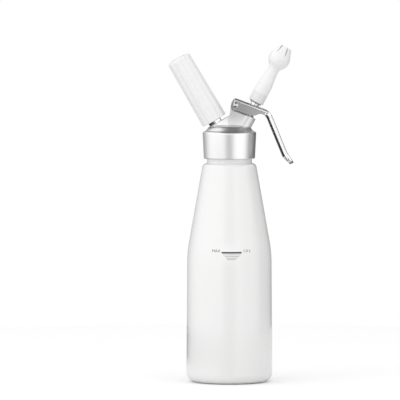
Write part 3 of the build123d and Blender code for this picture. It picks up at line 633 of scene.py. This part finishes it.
# The rim follows its lower edge. It begins halfway round the heel, clear of the pin's clip.
heel_corner = on_cheek(-4.5, -6.2)
sole_corner = on_cheek(15.4, -6.2)
rising_ray = (top_ray * 8.0 + up_ray * 3.0).normalized()
heel_run = rounded_run(heel_corner, -up_ray, top_ray, radius=5.4 * MM, steps=8)
sole_run = rounded_run(sole_corner, top_ray, rising_ray, radius=6 * MM, steps=5)
sole_line = ran_on(heel_run[4:] + sole_run, 4)
for name, side in flanges:
    trim(f"cheek_fold_{name}", fold_line, edge_section(fold_shape), side)
    trim(f"sole_rim_{name}", sole_line, edge_section(rim_shape), side, inside=-1)


# ------------------------------------------------------------- valve's spring
# The wire's radius and the coil's, the heights of its ends from the valve boss's face, its turns, the rise
# of a closed turn, the sections to a turn and the wire's sides.
wire_radius, coil_radius, coil_low, coil_high = 0.55 * MM, 5.55 * MM, -8.35 * MM, 7.6 * MM
coil_turns, closed_rise, coil_steps, wire_sides = 7, 1.12 * MM, 48, 14


def coil_height(turn):
    """Height of the wire's middle after a number of turns; the first and the last turn are closed."""
    if turn < 1:
        return coil_low + closed_rise * turn
    if turn > coil_turns - 1:
        return coil_high - closed_rise * (coil_turns - turn)
    open_height = coil_high - coil_low - 2 * closed_rise
    return coil_low + closed_rise + open_height * (turn - 1) / (coil_turns - 2)


def spring_rings():
    """Sections of the spring's round wire."""
    section = circle(wire_radius, wire_sides)
    rings = []
    for number in range(coil_turns * coil_steps + 1):
        turn = number / coil_steps
        middle = valve_face + valve_up * coil_height(turn)
        rings.append(wound(section, middle, valve_up, 2 * pi * turn, coil_radius))
    return rings


spring = piece("valve_coil", *swept(spring_rings()), "head", "spring_steel")
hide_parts("valve_spring")
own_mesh(spring)


# ----------------------------------------------------------------- fill mark
def wall_tree():
    """The bottle's mesh in a form that rays can be cast at."""
    mesh = nodes["bottle"].data
    points = [vertex.co.copy() for vertex in mesh.vertices]
    return BVHTree.FromPolygons(points, [tuple(face.vertices) for face in mesh.polygons])


bottle_wall = wall_tree()
# In mm the wall's radius at the mark, and in metres a distance well outside it and the ink's lift.
mark_radius, well_outside, ink_lift = 45.3, 0.07, 0.05 * MM


def on_wall(across, height):
    """Point just off the bottle's wall, across and height in mm as they look from the front."""
    turn = asin(across / mark_radius)
    outward = Vector((sin(turn), -cos(turn), 0))
    hit = bottle_wall.ray_cast(outward * well_outside + upright * height * MM, -outward)[0]
    return hit + outward * ink_lift


# Artwork is cut until no edge is longer than this in mm, or so many times.
longest_edge, most_cuts = 1.2, 6


def printed(name, shape, material):
    """Flat artwork, its x and y in mm, cut into small faces and laid on the bottle's wall."""
    bmesh.ops.triangulate(shape, faces=shape.faces)
    for _ in range(most_cuts):
        long_edges = [edge for edge in shape.edges if edge.calc_length() > longest_edge]
        if not long_edges:
            break
        bmesh.ops.subdivide_edges(shape, edges=long_edges, cuts=1, use_grid_fill=False)
        bmesh.ops.triangulate(shape, faces=shape.faces)
    shape.verts.ensure_lookup_table()
    points = [on_wall(vertex.co.x, vertex.co.y) for vertex in shape.verts]
    faces = [tuple(vertex.index for vertex in face.verts) for face in shape.faces]
    shape.free()
    piece(name, points, faces, "bottle", "white_lacquer", material)


def bar(left, right, height, thickness):
    """A flat bar from left to right, with its middle at a height."""
    shape = bmesh.new()
    low, high = height - thickness / 2, height + thickness / 2
    corners = ((left, low), (right, low), (right, high), (left, high))
    shape.faces.new([shape.verts.new((x, y, 0)) for x, y in corners])
    shape.verts.index_update()
    return shape


# The height in mm at which both words stand, and their size.
word_base, word_size = 142.7, 4.2


def lettering(text, middle):
    """Outline of a short generic word, centred at a distance across the wall."""
    curve = bpy.data.curves.new("fill_word", "FONT")
    curve.body = text
    curve.size = word_size
    curve.align_x = "CENTER"
    curve.resolution_u = 4
    holder = placed("fill_word", curve)
    bpy.context.view_layer.update()
    mesh = bpy.data.meshes.new_from_object(holder.evaluated_get(bpy.context.evaluated_depsgraph_get()))
    shape = bmesh.new()
    shape.from_mesh(mesh)
    for vertex in shape.verts:
        vertex.co = (vertex.co.x + middle, vertex.co.y + word_base, 0)
    shape.verts.index_update()
    bpy.data.objects.remove(holder)
    bpy.data.curves.remove(curve)
    return shape


# The left end, right end and height of each bar under the line.
grey_bars = (
    (-7.1, 12.0, 140.0),
    (-5.3, 10.4, 138.2),
    (-4.0, 8.4, 136.5),
    (-2.6, 6.6, 134.9),
)
printed("fill_line", bar(-8.7, 12.9, 142.25, thickness=1.75), black_ink)
for number, ends_and_height in enumerate(grey_bars):
    printed(f"fill_bar_{number + 1}", bar(*ends_and_height, thickness=0.6), grey_ink)
printed("fill_word_max", lettering("MAX", -14.6), black_ink)
printed("fill_word_volume", lettering("1.0 L", 18.8), black_ink)


# --------------------------------------------------------------------- floor
floor_radius, floor_corners = 0.8, 96
floor_mesh = bpy.data.meshes.new("floor")
floor_edge = [(x, y, 0) for x, y in circle(floor_radius, floor_corners)]
floor_mesh.from_pydata(floor_edge, [], [tuple(range(floor_corners))])
floor = placed("floor", floor_mesh)
# It lies a little under the bottle's foot, so that the two faces don't share a plane.
floor.location.z = -0.0003

paper = bpy.data.materials.new("floor_paper")
start = emptied(paper)
seen, mirrored = ray_kinds(start)
spot = start.node("ShaderNodeTexCoord", output="Object")
tone = mixed(noise(spot, 0.004, 2.0), grey(0.84), grey(0.83))
# Only in reflections, the floor is painted dark in two patches, one in front of the object and behind it,
# one to its left:
# painted dark reflections. Outward is in metres; eastward is 1 to the object's right and -1 to its left.
floor_middle = Vector((0, 0, 0))
outward = distance_from(spot, floor_middle)
eastward = height_along(spot, floor_middle, Vector((1, 0, 0))) / outward
left_edge = (-0.45, -0.3)
front_painted_dark = step(outward, 0.07, 0.14) * between(eastward, left_edge, (0.15, 0.35))
left_painted_dark = step(outward, 0.26, 0.36) * (1 - step(eastward, *left_edge))
tone = mixed(mirrored * (front_painted_dark + left_painted_dark), tone, grey(0.02))
matt = start.node("ShaderNodeBsdfDiffuse", {}, {"Color": tone})
# The camera sees the paper a little brighter than it is lit.
glow = start.node("ShaderNodeEmission", {}, {"Color": (1, 1, 1, 1), "Strength": 0.18 * seen})
shown(start.node("ShaderNodeAddShader", {}, {0: matt, 1: glow}), "ShaderNodeOutputMaterial")
floor_mesh.materials.append(paper)


# ---------------------------------------------------------------------- room
world = bpy.data.worlds.new("studio")
bpy.context.scene.world = world
start = emptied(world)
seen, mirrored = ray_kinds(start)
toward = start.node("ShaderNodeTexCoord", output="Generated")
east, north, above = (toward.node("ShaderNodeSeparateXYZ", {}, {0: toward}, axis) for axis in "XYZ")
south = 0 - north
bearing = east.maths("ARCTAN2", east, south) / pi
# The room's shades as metal sees them, by bearing: 0 and 1 are behind the object, 0.25 to its left, 0.5
# behind the camera and 0.75 to its right. The walls either side of the camera are bright.
room_shades = (
    (0.0, 0.25),
    (0.13, 0.32),
    (0.22, 0.9),
    (0.27, 1.0),
    (0.442, 1.0),
    (0.468, 0.26),
    (0.532, 0.26),
    (0.56, 1.0),
    (0.70, 1.0),
    (0.77, 0.1),
    (0.93, 0.1),
    (1.0, 0.25),
)
room = start.node("ShaderNodeValToRGB", {"stops": room_shades}, {0: bearing * 0.5 + 0.5})
# A pale panel just over eye level, which the sides of the cast web lean back to see.
panel = 0.9 * between(above, (-0.05, 0.09), (0.2, 0.3)) * step(south, 0.8, 0.93)
room = mixed(panel, room, grey(1.4))
# Higher up it is white all round, and overhead dark except on the left.
white_band = step(above, 0.42, 0.5)
room = mixed(white_band, room, grey(1))
dark_ceiling = step(above, 0.62, 0.72) * step(east, -0.42, -0.28)
room = mixed(dark_ceiling, room, grey(0.1))
walls = start.node("ShaderNodeBackground", {}, {"Color": room, "Strength": 1.42})
# Matt surfaces are lit a little less from behind and from the right.
soft = 0.855 - 0.1 * north - 0.05 * east
plain_inputs = {"Color": (1, 1, 1, 1), "Strength": soft + (1 - soft) * seen}
plain = start.node("ShaderNodeBackground", {}, plain_inputs)
sky = start.node("ShaderNodeMixShader", {}, {0: mirrored, 1: plain, 2: walls})
shown(sky, "ShaderNodeOutputWorld")


# --------------------------------------------------------- lights and camera
def aimed(made, place, target):
    """Puts a lamp or the camera at a place and turns it toward a target."""
    made.location = place
    made.rotation_euler = (Vector(target) - made.location).to_track_quat("-Z", "Y").to_euler()


def softbox(name, place, target, width, height, power):
    """A rectangular lamp that metal doesn't reflect; sizes in metres, power in watts."""
    lamp = bpy.data.lights.new(name, "AREA")
    lamp.shape = "RECTANGLE"
    lamp.size = width
    lamp.size_y = height
    lamp.energy = power
    made = placed(name, lamp)
    made.visible_glossy = False
    aimed(made, place, target)


softbox("left_softbox", (-1.7, -1.3, 0.9), (0, 0, 0.2), width=1.3, height=1.8, power=6)
softbox("top_softbox", (0.1, -0.3, 1.9), (0, 0, 0.1), width=1.4, height=1.4, power=5.3)

# The sensor's width in mm, and the width in metres that it sees at the view's middle.
sensor_width, view_width = 36, 0.4328
view_middle = Vector((-31.8, 0, 196.7)) * MM
camera = placed("camera", bpy.data.cameras.new("camera"))
bpy.context.scene.camera = camera
aimed(camera, (-0.0318, -5.0, 0.45), view_middle)
camera.data.sensor_width = sensor_width
camera.data.lens = sensor_width * (camera.location - view_middle).length / view_width
camera.data.clip_end = 50

bpy.context.scene.view_settings.view_transform = "Standard"
